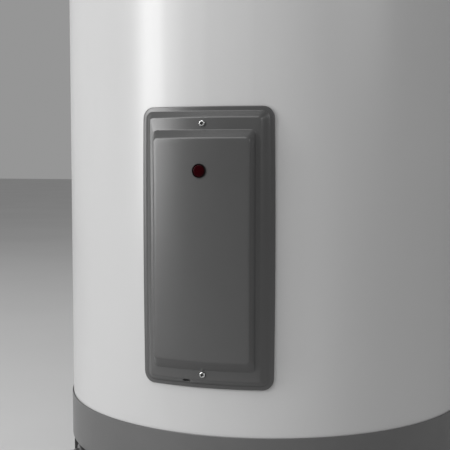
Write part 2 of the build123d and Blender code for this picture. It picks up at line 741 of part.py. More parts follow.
def tier(shape, inset=0.0):
    """One raised step of a panel: a solid of revolution about the heater's axis with sloping
    ends, cut to width by two sloping planes. Inset shrinks it, to make the hollow inside."""
    half_base, half_top, wide_base, wide_top, radius_base, radius_top = shape
    inner = jacket_radius - 8
    centre = -tier_drop
    radius_top -= inset
    half_base -= 1.1 * inset
    half_top -= 1.1 * inset
    wide_base -= 1.1 * inset
    wide_top -= 1.1 * inset
    y_base = -sqrt(radius_base**2 - wide_base**2)
    y_top = -sqrt(radius_top**2 - wide_top**2)
    slope = (wide_base - wide_top) / (y_base - y_top)
    y_near, y_far = -jacket_radius + 30, -pad_face - 10
    far = wide_base + slope * (y_far - y_base)
    with BuildPart() as step:
        with BuildSketch(Plane.XZ):
            Polygon((inner, centre - half_base), (radius_base, centre - half_base),
                    (radius_top, centre - half_top), (radius_top, centre + half_top),
                    (radius_base, centre + half_base), (inner, centre + half_base), align=None)
        revolve(axis=Axis.Z)
        with BuildSketch(Plane.XY.offset(-panel_half_height - 20)):
            Polygon((-wide_base, y_near), (wide_base, y_near), (wide_base, y_base), (far, y_far),
                    (-far, y_far), (-wide_base, y_base), align=None)
        extrude(amount=2 * panel_half_height + 40, mode=Mode.INTERSECT)
    return step.part


steps = [tier(flange_tier), tier(pad_tier)]
hollows = [tier(flange_tier, panel_wall), tier(pad_tier, panel_wall)]
with BuildPart() as panel_blank:
    add(steps)
    ring(lip_face, jacket_radius - 8, -panel_half_height - 5, 2 * panel_half_height + 10)
    # The rim is a rounded rectangle whose long sides bow out a little.
    with BuildSketch(Plane.XZ):
        with BuildLine():
            right_side = ThreePointArc((panel_half_width - panel_bow, -panel_half_height),
                                       (panel_half_width, -10),
                                       (panel_half_width - panel_bow, panel_half_height))
            Line(right_side @ 1, (panel_bow - panel_half_width, panel_half_height))
            left_side = ThreePointArc((panel_bow - panel_half_width, panel_half_height),
                                      (-panel_half_width, -10),
                                      (panel_bow - panel_half_width, -panel_half_height))
            Line(left_side @ 1, right_side @ 0)
        outline = make_face()
        fillet(outline.vertices(), panel_corner)
    extrude(amount=pad_face + 20, mode=Mode.INTERSECT)
    # The back follows the jacket, and the steps are hollow.
    ring(jacket_radius + panel_gap, 0.01, -200, 400, Mode.SUBTRACT)
    add(hollows, mode=Mode.SUBTRACT)
    for rise in panel_screw_rises:
        post_plane = facing(0, 0, rise)
        rod(post_plane, 5.0, jacket_radius + panel_gap, flange_face - jacket_radius - panel_gap)
        rod(post_plane, 2.5, 100, 200, Mode.SUBTRACT)
    rod(facing(0, 0, lens_rise), 6.0, 100, 200, Mode.SUBTRACT)
    block((-22.4, -15.0), (-300, -200), (-145.2, -142.8), Mode.SUBTRACT)

for name, panel_z in panel_heights.items():
    with BuildPart() as access_panel:
        with Locations((0, 0, panel_z)):
            add(panel_blank.part)
    keep(access_panel.part, f"{name}_access_panel")

    with BuildPart() as panel_screws:
        for rise in panel_screw_rises:
            screw_plane = facing(0, 0, panel_z + rise)
            rod(screw_plane, 3.5, flange_face + 0.05, 2.4)
            rod(screw_plane, 2.1, foam_radius - 10, flange_face - foam_radius + 10.05)
        fillet(panel_screws.edges().group_by(Axis.Y)[0], 1.2)
        for rise in panel_screw_rises:
            with BuildSketch(facing(0, flange_face + 3, panel_z + rise)):
                Rectangle(3.6, 0.9)
                Rectangle(0.9, 3.6)
            extrude(amount=-2, mode=Mode.SUBTRACT)
    keep(panel_screws.part, f"{name}_panel_screws")

    with BuildPart() as indicator_lens:
        lens_plane = facing(0, 0, panel_z + lens_rise)
        rod(lens_plane, lens_radius, pad_face + 0.45, 1.1)
        fillet(indicator_lens.edges().group_by(Axis.Y)[0], 0.9)
        rod(lens_plane, 5.4, pad_face - 4, 4.5)
    keep(indicator_lens.part, f"{name}_indicator_lens")

    with BuildPart() as lamp_body:
        rod(lens_plane, bezel_radius, pad_face + 0.05, 1.3)
        rod(lens_plane, lens_radius + 0.05, pad_face + 0.4, 5, Mode.SUBTRACT)
        rod(lens_plane, 5.95, pad_face - 15, 15.2)
        rod(lens_plane, 5.45, pad_face - 4.05, 10, Mode.SUBTRACT)
        # The push-on clip that holds the lamp from behind.
        with BuildSketch(lens_plane.offset(pad_face - panel_wall - 1.6)):
            Circle(8.5)
            Circle(6.0, mode=Mode.SUBTRACT)
        extrude(amount=1.2)
    keep(lamp_body.part, f"{name}_lamp_body")

# ---- Junction box ---------------------------------------------------------------------------
box_sheet = 1.2
with BuildPart() as junction_box:
    block(box_x, box_y, box_z)
    block((box_x[0] + box_sheet, box_x[1] - box_sheet), (box_y[0] + box_sheet, box_y[1] - box_sheet),
          (box_z[0] + box_sheet, box_z[1] + 5), Mode.SUBTRACT)
    rod(facing(0, 0, conduit_entry).shift_origin((conduit_x, 0, conduit_entry)), conduit_radius + 0.2,
        -box_y[0] - 10, 20, Mode.SUBTRACT)
keep(junction_box.part, "junction_box")

cover_bottom = cap_top + 0.4
with BuildPart() as junction_cover:
    with BuildSketch(Plane.XY.offset(cover_bottom)):
        with Locations((-17, -170)):
            RectangleRounded(78, 64, 5)
    extrude(amount=1.6)
    with Locations(*[(*place, cover_bottom) for place in cover_screw_places]):
        Cylinder(2.4, 10, mode=Mode.SUBTRACT)
keep(junction_cover.part, "junction_cover")

with BuildPart() as cover_screws:
    for place in cover_screw_places:
        with BuildSketch(Plane.XY.offset(cover_bottom + 1.65)):
            with Locations(place):
                Circle(3.6)
                Rectangle(4.6, 0.9, mode=Mode.SUBTRACT)
        extrude(amount=2.0)
        with BuildSketch(Plane.XY.offset(cover_bottom + 1.65)):
            with Locations(place):
                Circle(2.1)
        extrude(amount=-7)
keep(cover_screws.part, "cover_screws")

with BuildPart() as ground_screw:
    with BuildSketch(Plane.XY.offset(box_z[0] + box_sheet + 0.05)):
        with Locations((-30, -170)):
            RegularPolygon(5, 6)
            Rectangle(6, 1, mode=Mode.SUBTRACT)
    extrude(amount=4)
keep(ground_screw.part, "ground_screw")
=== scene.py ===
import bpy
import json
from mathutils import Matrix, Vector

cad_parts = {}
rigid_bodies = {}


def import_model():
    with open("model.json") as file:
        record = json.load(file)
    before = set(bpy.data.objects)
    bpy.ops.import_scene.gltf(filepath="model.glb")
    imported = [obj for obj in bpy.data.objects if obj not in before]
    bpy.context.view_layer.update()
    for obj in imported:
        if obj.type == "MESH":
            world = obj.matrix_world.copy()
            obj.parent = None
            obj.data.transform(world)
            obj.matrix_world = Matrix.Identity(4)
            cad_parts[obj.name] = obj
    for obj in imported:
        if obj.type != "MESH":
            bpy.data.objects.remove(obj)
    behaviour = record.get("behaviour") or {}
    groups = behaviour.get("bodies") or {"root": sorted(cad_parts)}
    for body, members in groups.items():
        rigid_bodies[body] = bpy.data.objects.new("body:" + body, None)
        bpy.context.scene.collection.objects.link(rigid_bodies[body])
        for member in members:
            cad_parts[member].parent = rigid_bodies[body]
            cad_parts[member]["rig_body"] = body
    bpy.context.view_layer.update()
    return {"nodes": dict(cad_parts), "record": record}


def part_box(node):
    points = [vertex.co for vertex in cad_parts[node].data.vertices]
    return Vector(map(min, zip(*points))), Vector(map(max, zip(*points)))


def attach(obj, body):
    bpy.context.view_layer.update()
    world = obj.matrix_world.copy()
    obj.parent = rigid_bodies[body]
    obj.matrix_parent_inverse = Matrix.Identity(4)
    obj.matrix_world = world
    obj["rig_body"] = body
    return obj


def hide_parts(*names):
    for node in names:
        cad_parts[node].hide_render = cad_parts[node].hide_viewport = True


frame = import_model()

import json
from math import atan2, cos, pi, radians, sin

import bmesh
import bpy
import numpy as np

mm = 0.001
nodes = frame["nodes"]
body_of_node = {node: obj["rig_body"] for node, obj in nodes.items()}
slot_of_node = {entry["node"]: entry["material_slot"] for entry in frame["record"]["subparts"]}
mounts = {mount["name"]: mount for mount in frame["record"]["mounts"]}

# ---- Places read from the frame ---------------------------------------------------------------
jacket_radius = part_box("jacket")[1].x
base_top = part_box("base_pan")[1].z
up = np.array([0.0, 0.0, 1.0])
forward = np.array([0.0, -1.0, 0.0])


def middle(node):
    """Centre of a CAD node's box."""
    low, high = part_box(node)
    return np.array((low + high) / 2)


# ---- Mesh helpers -----------------------------------------------------------------------------


def sheet_faces(rows, columns):
    """Quads of a grid of rows by columns points whose rows are closed rings."""
    row = np.arange(rows - 1)[:, None] * columns
    column = np.arange(columns)[None, :]
    beside = (column + 1) % columns
    corners = (row + column, row + beside, row + columns + beside, row + columns + column)
    return np.stack(np.broadcast_arrays(*corners), -1).reshape(-1, 4)


def make_piece(name, shells, sharp=40):
    """Mesh object from shells of (points, faces). Points that coincide, as at a pole, are merged and the
    faces turned outwards; shading is smooth but for edges over the sharp angle."""
    points = np.concatenate([p.reshape(-1, 3) for p, _ in shells])
    starts = np.cumsum([0] + [p.size // 3 for p, _ in shells[:-1]])
    faces = np.concatenate([f + start for (_, f), start in zip(shells, starts)])
    mesh = bpy.data.meshes.new(name)
    mesh.from_pydata(points.tolist(), [], faces.tolist())
    work = bmesh.new()
    work.from_mesh(mesh)
    bmesh.ops.remove_doubles(work, verts=work.verts, dist=0.002 * mm)
    bmesh.ops.recalc_face_normals(work, faces=work.faces)
    work.to_mesh(mesh)
    work.free()
    mesh.validate()
    mesh.shade_smooth()
    mesh.set_sharp_from_angle(angle=radians(sharp))
    obj = bpy.data.objects.new(name, mesh)
    bpy.context.scene.collection.objects.link(obj)
    return obj


def fit_piece(obj, node):
    """Let a piece stand for its CAD node: it rides with the node's body and takes its slot and finish."""
    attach(obj, body_of_node[node])
    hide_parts(node)
    obj.data.materials.append(finishes[slot_of_node[node]])


def softened(keys, radii, steps=5):
    """Chain of key points, or of key rings, with each inner key rounded off: a curve
    (1-q)^2 A + 2q(1-q) K + q^2 C, with A and C on the two neighbouring runs a radius away."""
    keys = [np.asarray(key, float) for key in keys]
    rows = [keys[0]]
    for before, here, after, radius in zip(keys, keys[1:], keys[2:], radii[1:]):
        if radius == 0:
            rows.append(here)
            continue
        ends = []
        for other in (before, after):
            length = np.maximum(np.linalg.norm(other - here, axis=-1, keepdims=True), 1e-9)
            ends.append(here + (other - here) * np.minimum(radius / length, 0.45))
        for q in np.linspace(0, 1, steps):
            rows.append((1 - q) ** 2 * ends[0] + 2 * q * (1 - q) * here + q**2 * ends[1])
    rows.append(keys[-1])
    return np.array(rows)


def round_axis(origin, axis, along, radius, angle):
    """Points round an axis: origin + along * axis + radius * (cos(angle) e + sin(angle) f), where e is
    level, and e, f and the axis are square to each other."""
    axis = np.asarray(axis, float)
    side = np.cross(up, axis) if abs(axis[2]) < 0.9 else np.array([1.0, 0.0, 0.0])
    side /= np.linalg.norm(side)
    turn = np.cos(angle)[..., None] * side + np.sin(angle)[..., None] * np.cross(axis, side)
    return np.asarray(origin) + along[..., None] * axis + radius[..., None] * turn


def lathe(profile, origin, axis, steps=72, shape=None):
    """Surface of revolution of a profile of (along, radius) rows in millimetres. Shape, if given, changes
    the radius as a function of (along, radius, angle)."""
    along, radius = np.asarray(profile, float).T[:, :, None]
    angle = np.linspace(0, 2 * pi, steps, endpoint=False)[None, :]
    along, radius, angle = np.broadcast_arrays(along, radius, angle)
    if shape:
        radius = shape(along, radius, angle)
    points = round_axis(origin, axis, along * mm, radius * mm, angle)
    return points, sheet_faces(*radius.shape)


def thread(along, angle, pitch, start, end):
    """Screw thread's depth from 0 at its crest to 1 at its root: a triangle wave of
    along / pitch - angle / (2 pi), and 0 outside start to end."""
    phase = (along / pitch - angle / (2 * pi)) % 1
    ramp = np.clip(np.minimum(along - start, end - along) / pitch, 0, 1)
    return np.abs(2 * phase - 1) * ramp


def around(arc, rise, depth):
    """Points on the jacket's cylinder from arc length along it, height and distance off it:
    angle = arc / radius, then (r sin, -r cos, height) with r = radius + depth."""
    angle = arc / jacket_radius
    radius = jacket_radius + depth
    return np.stack([radius * np.sin(angle), -radius * np.cos(angle), rise], -1)


# ---- Material helpers -------------------------------------------------------------------------


def linear(hex_colour):
    """sRGB hex colour as linear RGBA."""
    channels = np.array([int(hex_colour[k:k + 2], 16) for k in (1, 3, 5)]) / 255
    low, high = channels / 12.92, ((channels + 0.055) / 1.055) ** 2.4
    return (*np.where(channels <= 0.04045, low, high), 1.0)


def add_node(tree, kind, settings=None, links=None):
    """Add a node, set its input values, and link its inputs from (node, output)."""
    node = tree.nodes.new(kind)
    for key, value in (settings or {}).items():
        node.inputs[key].default_value = value
    for key, (source, output) in (links or {}).items():
        tree.links.new(source.outputs[output], node.inputs[key])
    return node


def new_material(name, surface):
    """Material with one Principled shader and its constant values; returns it, its tree and the shader."""
    material = bpy.data.materials.new(name)
    material.use_nodes = True
    tree = material.node_tree
    shader = tree.nodes["Principled BSDF"]
    for key, value in surface.items():
        shader.inputs[key].default_value = value
    return material, tree, shader


def placed(tree, stretch):
    """Object coordinates, stretched."""
    place = add_node(tree, "ShaderNodeTexCoord")
    return add_node(tree, "ShaderNodeMapping", {"Scale": stretch}, {"Vector": (place, "Object")})


def noise(tree, size, detail=3, roughness=0.5, stretch=(1, 1, 1)):
    """Noise with features about this many metres across."""
    settings = {"Scale": 1 / size, "Detail": detail, "Roughness": roughness}
    return add_node(tree, "ShaderNodeTexNoise", settings, {"Vector": (placed(tree, stretch), "Vector")})


def cells(tree, size):
    """Cell pattern with cells about this many metres across."""
    place = placed(tree, (1, 1, 1))
    return add_node(tree, "ShaderNodeTexVoronoi", {"Scale": 1 / size}, {"Vector": (place, "Vector")})


def relief(tree, shader, layers):
    """Chain of bumps, each (texture node, output, height in metres), into the shader's normal."""
    links = {}
    for texture, output, height in layers:
        links["Height"] = (texture, output)
        bump = add_node(tree, "ShaderNodeBump", {"Strength": 1.0, "Distance": height}, links)
        links = {"Normal": (bump, "Normal")}
    tree.links.new(bump.outputs["Normal"], shader.inputs["Normal"])


def tint(tree, shader, texture, output, colours, places, socket="Base Color"):
    """Ramp from a texture into a shader socket: hex colours, or plain values for a value socket."""
    ramp = add_node(tree, "ShaderNodeValToRGB", None, {"Fac": (texture, output)})
    for k, (place, colour) in enumerate(zip(places, colours)):
        stop = ramp.color_ramp.elements[k] if k < 2 else ramp.color_ramp.elements.new(place)
        stop.position = place
        stop.color = linear(colour) if isinstance(colour, str) else (colour, colour, colour, 1)
    tree.links.new(ramp.outputs["Color"], shader.inputs[socket])


# ---- Materials --------------------------------------------------------------------------------


def baked_enamel():
    """Polyester enamel baked on rolled sheet steel: semi-gloss, with a faint orange peel of 2 mm and a
    slow drift of its gloss and grey."""
    material, tree, shader = new_material("baked_grey_enamel", {"IOR": 1.5})
    tint(tree, shader, noise(tree, 0.15, 1), "Fac", (0.276, 0.3), (0.0, 1.0), "Roughness")
    tint(tree, shader, noise(tree, 0.2, 1), "Fac", ("#b6b6b6", "#bbbbbb"), (0.0, 1.0))
    relief(tree, shader, [(noise(tree, 0.0022, 2), "Fac", 0.000012)])
    return material


def moulded(name, dark, light, rough, grain, height, ior=1.5, **surface):
    """Injection-moulded plastic: the mould's fine grain, given in metres, a slow drift of colour and
    patches that handling has polished."""
    material, tree, shader = new_material(name, {"IOR": ior, **surface})
    tint(tree, shader, noise(tree, 0.035, 2), "Fac", (dark, light), (0.1, 0.9))
    tint(tree, shader, noise(tree, 0.08, 1), "Fac", (rough - 0.03, rough + 0.03), (0.0, 1.0), "Roughness")
    relief(tree, shader, [(noise(tree, grain, 3, 0.6), "Fac", height)])
    return material


def foamed(name, dark, light, bead, height):
    """Cellular foam, matt, with beads or cells of this many metres that meet in fine creases; the colour
    darkens towards the creases as painted shade.
    """
    material, tree, shader = new_material(name, {"Roughness": 0.9, "IOR": 1.4})
    bead_pattern = cells(tree, bead)
    # Painted shade: the colour goes darker towards the creases where the beads meet.
    tint(tree, shader, bead_pattern, "Distance", (light, light, dark), (0.0, 0.45, 0.75))
    relief(tree, shader, [(noise(tree, 6 * bead, 3), "Fac", height), (bead_pattern, "Distance", -height)])
    return material


def metal(name, dark, light, rough, grain, height, stretch=(1, 1, 1)):
    """Bare or plated metal: bright where polished, duller in blotches, with a working grain in metres
    that is drawn out by stretch along the way it was rolled, brushed or turned."""
    material, tree, shader = new_material(name, {"Metallic": 1.0})
    blotches, polish = noise(tree, 0.012, 5, 0.6), noise(tree, 0.008, 5, 0.7)
    tint(tree, shader, blotches, "Fac", (dark, light), (0.3, 0.7))
    tint(tree, shader, polish, "Fac", (rough - 0.07, rough + 0.08), (0.3, 0.7), "Roughness")
    relief(tree, shader, [(noise(tree, grain, 4, 0.6, stretch), "Fac", height)])
    return material


def spangled_zinc():
    """Hot-dip galvanised sheet: crystals about 9 mm across, each reflecting a little differently."""
    material, tree, shader = new_material("galvanised_steel_sheet", {"Metallic": 1.0})
    crystal = cells(tree, 0.009)
    tint(tree, shader, crystal, "Color", ("#a6a9ab", "#b9bcbe"), (0.1, 0.9))
    tint(tree, shader, crystal, "Color", (0.34, 0.42), (0.1, 0.9), "Roughness")
    relief(tree, shader, [(noise(tree, 0.003, 3), "Fac", 0.00002)])
    return material


def fired_enamel():
    """Cobalt glass lining fired on steel: glossy deep blue, with a fine pebbled surface."""
    material, tree, shader = new_material("cobalt_glass_enamel", {"IOR": 1.52, "Roughness": 0.16})
    tint(tree, shader, noise(tree, 0.02, 4), "Fac", ("#1b2238", "#252e4a"), (0.3, 0.7))
    relief(tree, shader, [(noise(tree, 0.004, 3), "Fac", 0.00005)])
    return material


def lamp_lens():
    """Unlit neon lamp behind deep red polycarbonate: almost black, with a red glow where light gets
    through, and moulded prisms on its back that show as fine cells."""
    surface = {"IOR": 1.58, "Roughness": 0.2, "Specular IOR Level": 0.04}
    material, tree, shader = new_material("deep_red_polycarbonate", surface)
    prism = cells(tree, 0.0012)
    tint(tree, shader, prism, "Distance", ("#2a0004", "#1d0003"), (0.1, 0.7))
    relief(tree, shader, [(prism, "Distance", 0.00002)])
    return material


finishes = {
    "jacket_paint": baked_enamel(),
    # Charcoal ABS: satin, pigment-grey, with the fine grain of an etched mould.
    "panel_plastic": moulded("charcoal_abs", "#434343", "#464646", 0.305, 0.0009, 0.00001, 1.6),
    # Charcoal polypropylene: a little duller and coarser than the ABS.
    "base_plastic": moulded("charcoal_polypropylene", "#555555", "#595959", 0.34, 0.0014, 0.00003, 1.55),
    "cap_plastic": moulded("charcoal_cap_polypropylene", "#4e4e4e", "#525252", 0.34, 0.0014, 0.00003, 1.55),
    # Expanded polystyrene: white beads of 3.5 mm pressed together, with painted shade in the creases between
    # them.
    "white_eps": foamed("expanded_polystyrene", "#c9c8c2", "#efeeea", 0.0035, 0.0003),
    # Polyurethane poured in place: honey-coloured skin, with painted shade in the creases between its cells.
    "yellow_foam": foamed("poured_polyurethane_foam", "#a8894c", "#d6b976", 0.0022, 0.0004),
    "enamelled_steel": fired_enamel(),
    # Hot-rolled mill steel: dark grey scale.
    "bare_steel": metal("mill_steel", "#4c4a48", "#77746f", 0.5, 0.0012, 0.00004),
    # Zinc plate over drawn pipe: bright with dull blotches and lengthwise draw marks.
    "zinc_steel": metal("zinc_plated_steel", "#8d8e8c", "#bdbdb8", 0.34, 0.0012, 0.00003, (1, 1, 0.08)),
    # Bright zinc on small screws: clean and shiny.
    "bright_steel": metal("bright_zinc_plate", "#c6c7c8", "#e4e4e3", 0.16, 0.0015, 0.000006),
    # Blued spring steel: dark with an oily sheen.
    "spring_steel": metal("blued_spring_steel", "#55585e", "#82858a", 0.3, 0.002, 0.00002, (0.2, 1, 1)),
    "galvanised_sheet": spangled_zinc(),
    # Green-dyed zinc of an earthing screw.
    "green_steel": metal("green_dyed_zinc", "#0f5a26", "#1c7d3a", 0.35, 0.001, 0.00001),
    # Coloured polyethylene rings: waxy and slightly soft to the eye.
    "blue_plastic": moulded("blue_polyethylene", "#1d4a93", "#2457a6", 0.4, 0.0012, 0.00002),
    "red_plastic": moulded("red_polyethylene", "#a01c17", "#b3251e", 0.4, 0.0012, 0.00002),
    # Natural nylon: milky, with light scattered just under its surface.
    "white_plastic": moulded("natural_nylon", "#d9d6cb", "#e6e3da", 0.38, 0.0015, 0.00002,
                             **{"Subsurface Weight": 0.15, "Subsurface Scale": 0.002}),
    # Cream urea thermoset of the dials.
    "cream_plastic": moulded("cream_urea_thermoset", "#cdc3a0", "#d8cfb0", 0.32, 0.0012, 0.00001),
    # Black glass-filled nylon of the lamp's rim.
    "black_plastic": moulded("black_nylon", "#0c0909", "#120d0d", 0.4, 0.001, 0.00001,
                             **{"Specular IOR Level": 0.12}),
    # Grey PVC conduit.
    "grey_conduit": moulded("grey_pvc_tube", "#6b6c6e", "#77787a", 0.42, 0.0015, 0.00002),
    # Black PVC insulation on the wires.
    "wire_jacket": moulded("black_pvc_insulation", "#141415", "#1c1c1d", 0.38, 0.0012, 0.00001),
    # Black phenolic: hard, with the flow marks of a wood-filled moulding.
    "phenolic": moulded("black_phenolic", "#17140f", "#241f19", 0.33, 0.0025, 0.00004),
    # Extruded magnesium: silvery, oxidised to a soft grey, with extrusion lines along it.
    "magnesium": metal("extruded_magnesium", "#8f908e", "#b4b5b1", 0.45, 0.001, 0.00004, (1, 1, 0.04)),
    # Sand-cast brass: dull gold with the grain of the sand.
    "cast_brass": metal("sand_cast_brass", "#9a7a3e", "#c4a05a", 0.4, 0.0011, 0.00009),
    # Turned brass: brighter, with tool marks across its axis.
    "turned_brass": metal("turned_brass", "#b08c48", "#d7b46c", 0.24, 0.0006, 0.00002, (1, 0.1, 0.1)),
    "copper_tube": metal("drawn_copper", "#96543a", "#bf7453", 0.3, 0.001, 0.00002, (0.1, 1, 1)),
    # Moulded EPDM: black and matt.
    "seat_rubber": moulded("epdm_rubber", "#1b1b1b", "#232323", 0.65, 0.001, 0.00003),
    # Nickel alloy tube of the elements, straw-coloured where it was annealed.
    "element_sheath": metal("nickel_alloy_sheath", "#7b7366", "#a39b8c", 0.32, 0.001, 0.00002, (1, 0.05, 1)),
    "red_lens": lamp_lens(),
}

for node, obj in nodes.items():
    obj.data.materials.clear()
    obj.data.materials.append(finishes[slot_of_node[node]])

# ---- Access panels ----------------------------------------------------------------------------
# The slot in the lower slope: its ends along the jacket, and its lower and upper edges from the panel's
# middle, in millimetres.
slot_ends = (-22.4, -15.0)
slot_rises = (-145.9, -142.5)
wall_thickness = 1.2
# Half the height of the line on which the raised pad's face closes, in millimetres.
spine_half_height = 70


def rounded_rectangle(half_arc, half_height, corner, bow, rows=28, columns=(12, 3, 26), corner_steps=6):
    """Closed outline of a rounded rectangle as (arc, rise) points, started near the right side's foot. Its
    long sides bow outward: the half width is less by bow times (rise / half height) squared. The short
    sides are divided so that two of their points stand at the ends of the slot."""
    a, b = half_arc - corner, half_height - corner
    along = np.linspace(-b, b, rows + 1)[1:-1]
    stops = (-a, *slot_ends, a)
    parts = zip(stops, stops[1:], columns)
    across = np.concatenate([np.linspace(start, end, n, endpoint=False) for start, end, n in parts])[1:]
    turn = np.linspace(0, pi / 2, corner_steps + 1)
    side, end = np.full_like(along, half_arc), np.full_like(across, half_height)
    runs = [(side, along), (a + corner * np.cos(turn), b + corner * np.sin(turn)),
            (across[::-1], end), (-a - corner * np.sin(turn), b + corner * np.cos(turn)),
            (-side, -along), (-a - corner * np.cos(turn), -b - corner * np.sin(turn)),
            (across, -end), (a + corner * np.sin(turn), -b - corner * np.cos(turn))]
    outline = np.concatenate([np.stack(run, -1) for run in runs])
    outline[:, 0] -= bow * (outline[:, 1] / half_height) ** 2 * outline[:, 0] / half_arc
    return outline


# Each step of the panel: half arc, half height, corner radius, bow, drop below the rim's middle,
# distance off the jacket, edge radius. In millimetres, from the rim to the edge of the raised pad's face.
panel_steps = [
    (76.0, 152.0, 12.5, 1.2, 0.0, 0.45, 0.0),
    (76.0, 152.0, 12.5, 1.2, 0.0, 2.5, 1.4),
    (70.8, 147.4, 8.5, 0.9, 0.4, 2.5, 0.9),
    (66.0, 144.6, 6.0, 0.5, 0.6, 5.9, 0.0),
    (63.0, 142.2, 4.0, 0.2, 0.8, 8.5, 0.0),
    (60.3, 140.5, 2.4, 0.0, 0.8, 10.0, 1.2),
    (55.6, 128.8, 4.6, 0.0, 2.0, 10.0, 0.8),
    (50.4, 118.9, 4.4, 0.0, 0.8, 20.5, 1.8),
]


def access_panel(side):
    """Stepped cover. Rounded rectangles, one inside the next, lie at their own distances off the jacket;
    faces run between them, edges are softened, and the pad's face closes along its middle line. The slot
    is left out of the lower slope."""
    centre = middle(f"{side}_access_panel")[2]
    keys = []
    for half_arc, half_height, corner, bow, drop, depth, _ in panel_steps:
        outline = rounded_rectangle(half_arc, half_height, corner, bow)
        keys.append(np.column_stack([outline[:, 0], outline[:, 1] - drop, np.full(len(outline), depth)]))
    inner = keys[-1] * (0.9, 0.95, 1)
    rings = softened(keys + [inner], [step[-1] for step in panel_steps] + [0])
    spine = inner * (0, 1, 1)
    spine[:, 1] = np.clip(inner[:, 1], -spine_half_height, spine_half_height)
    shrink = np.linspace(0, 1, 14)[1:, None, None]
    rings = np.concatenate([rings, inner * (1 - shrink) + spine * shrink])
    points = around(rings[..., 0] * mm, centre + rings[..., 1] * mm, rings[..., 2] * mm)
    faces = sheet_faces(*rings.shape[:2])
    middles = rings.reshape(-1, 3)[faces].mean(1)
    in_slot = (middles[:, 0] > slot_ends[0]) & (middles[:, 0] < slot_ends[1])
    in_slot &= (middles[:, 1] > slot_rises[0]) & (middles[:, 1] < slot_rises[1])
    obj = make_piece(f"{side}_access_panel_cover", [(points, faces[~in_slot])], 50)
    wall = obj.modifiers.new("wall", "SOLIDIFY")
    wall.thickness = wall_thickness * mm
    wall.offset = -1
    fit_piece(obj, f"{side}_access_panel")


def pan_head(centre, radius, height, shank_radius, shank_length):
    """Pan-head screw with a cross recess, on the forward axis. The head's height over (r, angle) is
    height * (1 - (r / radius)^4)^(1/2), less a recess where the point lies within either bar of the
    cross. The recess goes into the shank, which closes the shape below the head."""
    share = np.concatenate([np.linspace(0, 0.96, 30), [0.985, 1.0]])[:, None]
    angle = np.linspace(0, 2 * pi, 96, endpoint=False)[None, :]
    r, angle = np.broadcast_arrays(share * radius, angle)
    top = height * np.sqrt(np.maximum(1 - (r / radius) ** 4, 0))
    x, y = r * np.cos(angle), r * np.sin(angle)
    bar, reach, into_shank = 0.22 * radius, 0.56 * radius, 1.0
    depth = np.zeros_like(r)
    for across, length in ((x, y), (y, x)):
        inside = np.clip((bar * 1.5 - np.abs(across)) / (0.6 * bar), 0, 1)
        depth = np.maximum(depth, inside * np.clip((reach - np.abs(length)) / (0.3 * reach), 0, 1))
    top = top - depth * (height + into_shank)
    foot = np.array([(0, radius), (0, shank_radius), (-shank_length, shank_radius), (-shank_length, 0)])
    foot_along, foot_r = [np.broadcast_to(v[:, None], (4, angle.shape[1])) for v in foot.T]
    along, r = np.concatenate([top, foot_along]), np.concatenate([r, foot_r])
    angle = np.broadcast_to(angle[:1], r.shape)
    points = round_axis(centre, forward, along * mm, r * mm, angle)
    return points, sheet_faces(*r.shape)


def panel_screws(side):
    """The two screws that hold a panel, at the ends of its CAD pair."""
    node = f"{side}_panel_screws"
    low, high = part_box(node)
    radius = (high.x - low.x) / 2
    head_height, shank_radius, end_gap = 2.3, 2.0, 0.1
    shank_length = (high.y - low.y) / mm - head_height - end_gap
    seats = [(0, low.y + head_height * mm, z) for z in (low.z + radius, high.z - radius)]
    shells = [pan_head(seat, radius / mm, head_height, shank_radius, shank_length) for seat in seats]
    fit_piece(make_piece(f"{side}_panel_screw_pair", shells, 35), node)


# Sections of the lamp as (distance ahead of its front face, radius), in millimetres, each with the
# radius that softens each point. The lens's plug is as deep as its CAD node.
lens_dome = [(-1.4, 5.2), (-1.4, 6.5), (-0.9, 6.5), (-0.15, 5.6), (0, 4.8), (0, 0)]
lens_softening = (0, 0.2, 0.2, 0.1, 0.2, 0.4, 0.6, 0)
rim_and_barrel = [(-0.6, 6.7), (0.0, 6.95), (0.0, 7.35), (-0.45, 7.6), (-1.25, 7.6), (-1.3, 5.9),
                  (-15.8, 5.9), (-15.8, 5.4), (-5.7, 5.4), (-1.25, 5.45), (-1.2, 6.6), (-0.6, 6.7)]
rim_softening = (0, 0.15, 0.2, 0.3, 0.1, 0, 0.1, 0.1, 0, 0, 0, 0)


def indicator_lamp(side):
    """Shallow domed lens in a thin black rim, with the lamp's barrel behind it."""
    lens, body = f"{side}_indicator_lens", f"{side}_lamp_body"
    low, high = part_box(lens)
    x, _, z = middle(lens)
    depth = (high.y - low.y) / mm
    profile = softened([(-depth, 0), (-depth, 5.2), *lens_dome], lens_softening)
    fit_piece(make_piece(f"{side}_lamp_lens", [lathe(profile, (x, low.y, z), forward)], 50), lens)
    profile = softened(rim_and_barrel, rim_softening)
    rim_front = (x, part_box(body)[0].y, z)
    fit_piece(make_piece(f"{side}_lamp_rim_and_barrel", [lathe(profile, rim_front, forward)], 45), body)


for side in ("lower", "upper"):
    access_panel(side)
    panel_screws(side)
    indicator_lamp(side)

# ---- Pipe connections -------------------------------------------------------------------------


def pipe_nipple(node):
    """Plated pipe nipple. Its outer radius is the pipe's less the thread's depth; the 1.8 mm thread
    runs down from the open end, which is chamfered."""
    low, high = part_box(node)
    x, y, _ = middle(node)
    radius, length = (high.x - low.x) / 2 / mm, (high.z - low.z) / mm
    bore, pitch, thread_depth, threaded = radius - 2.9, 1.814, 1.1, 19.0
    rows = np.linspace(length - 0.8, length - threaded - 2, 96)
    mouth = (length - 0.2, bore + 0.4)
    profile = [mouth, (length, bore + 0.9), (length, radius - 1.2)]
    profile += [(row, radius) for row in rows] + [(0.0, radius), (0.0, bore), mouth]

    def shape(along, r, angle):
        cut = thread_depth * thread(along, angle, pitch, length - threaded, length + pitch)
        return np.where(r > radius - 0.01, r - cut, r)

    surface = lathe(profile, (x, y, low.z), up, 96, shape)
    fit_piece(make_piece(f"{node}_threaded", [surface], 30), node)


